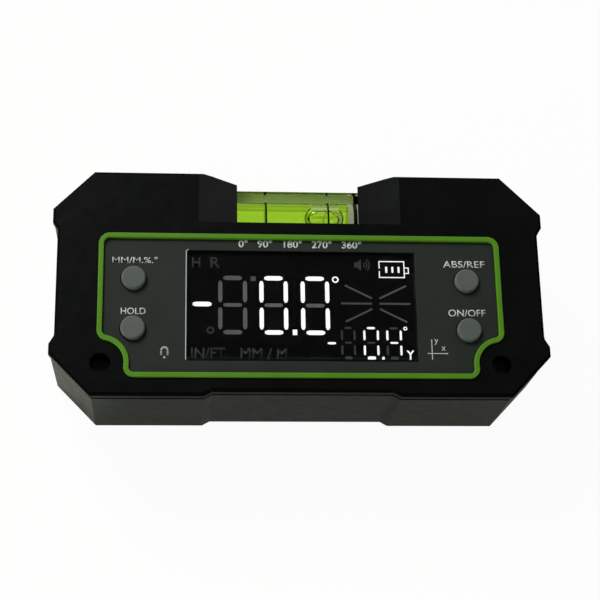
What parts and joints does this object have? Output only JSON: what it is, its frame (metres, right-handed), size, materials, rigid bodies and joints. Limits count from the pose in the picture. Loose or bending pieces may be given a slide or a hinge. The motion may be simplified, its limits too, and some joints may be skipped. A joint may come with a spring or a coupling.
{
  "type": "digital angle gauge",
  "caption": "Black pocket angle gauge with cut corners, a green ring round a grey key panel, a segment display, round keys, a tube level in a top window and a magnetic base",
  "frame": {"origin": "centre of the back face, on which the gauge lies", "axes": "+X to the right of the display, +Y from the base pads to the tube level, +Z out of the display"},
  "size_m": [0.1164, 0.0552, 0.0279],
  "materials": {
    "black_housing": "fine moulded texture, satin",
    "green_bead": "smooth moulded, satin",
    "grey_panel": "fine matt texture",
    "grey_keys": "smooth, matt",
    "clear_lens": "clear, glossy",
    "dark_display": "black display glass with pale segments",
    "white_light_block": "milky, smooth",
    "contact_strip": "soft, matt",
    "circuit_board": "solder mask, satin",
    "steel": "plated",
    "dark_parts": "moulded, matt",
    "cell_jacket": "plain printed sleeve",
    "magnet": "nickel plated",
    "clear_acrylic": "clear, polished",
    "green_fluid": "clear tinted fluid",
    "black_marks": "flat black",
    "clear_plug": "clear, slightly milky"
  },
  "bodies": {
    "gauge_body": {"rear_housing": "black_housing", "front_cover": "black_housing", "bezel_ring": "green_bead", "face_panel": "grey_panel", "display_lens": "clear_lens", "lcd_glass": "dark_display", "lcd_backlight": "white_light_block", "lcd_connector": "contact_strip", "main_board": "circuit_board", "board_screws": "steel", "switch_bases": "dark_parts", "tilt_sensor": "dark_parts", "controller_chip": "dark_parts", "buzzer": "dark_parts", "battery_cells": "cell_jacket", "contact_springs": "steel", "bridge_contact": "steel", "terminal_contacts": "steel", "base_magnets": "magnet", "front_screws": "steel", "vial_block": "clear_acrylic", "vial_fluid": "green_fluid", "vial_rings": "black_marks", "vial_plug": "clear_plug"},
    "units_key": {"button_units": "grey_keys", "plunger_units": "dark_parts"},
    "hold_key": {"button_hold": "grey_keys", "plunger_hold": "dark_parts"},
    "reference_key": {"button_reference": "grey_keys", "plunger_reference": "dark_parts"},
    "power_key": {"button_power": "grey_keys", "plunger_power": "dark_parts"},
    "door": {"battery_door": "black_housing"}
  },
  "joints": [
    {"name": "units_press", "type": "slide", "parent": "gauge_body", "child": "units_key", "axis": [0, 0, -1], "range_m": [0, 0.0005], "stiffness_N_per_m": 800},
    {"name": "hold_press", "type": "slide", "parent": "gauge_body", "child": "hold_key", "axis": [0, 0, -1], "range_m": [0, 0.0005], "stiffness_N_per_m": 800},
    {"name": "reference_press", "type": "slide", "parent": "gauge_body", "child": "reference_key", "axis": [0, 0, -1], "range_m": [0, 0.0005], "stiffness_N_per_m": 800},
    {"name": "power_press", "type": "slide", "parent": "gauge_body", "child": "power_key", "axis": [0, 0, -1], "range_m": [0, 0.0005], "stiffness_N_per_m": 800},
    {"name": "door_swing", "type": "hinge", "parent": "gauge_body", "child": "door", "pos_m": [0, -0.0192, 0.0013], "axis": [-1, 0, 0], "range_deg": [0, 80]}
  ]
}
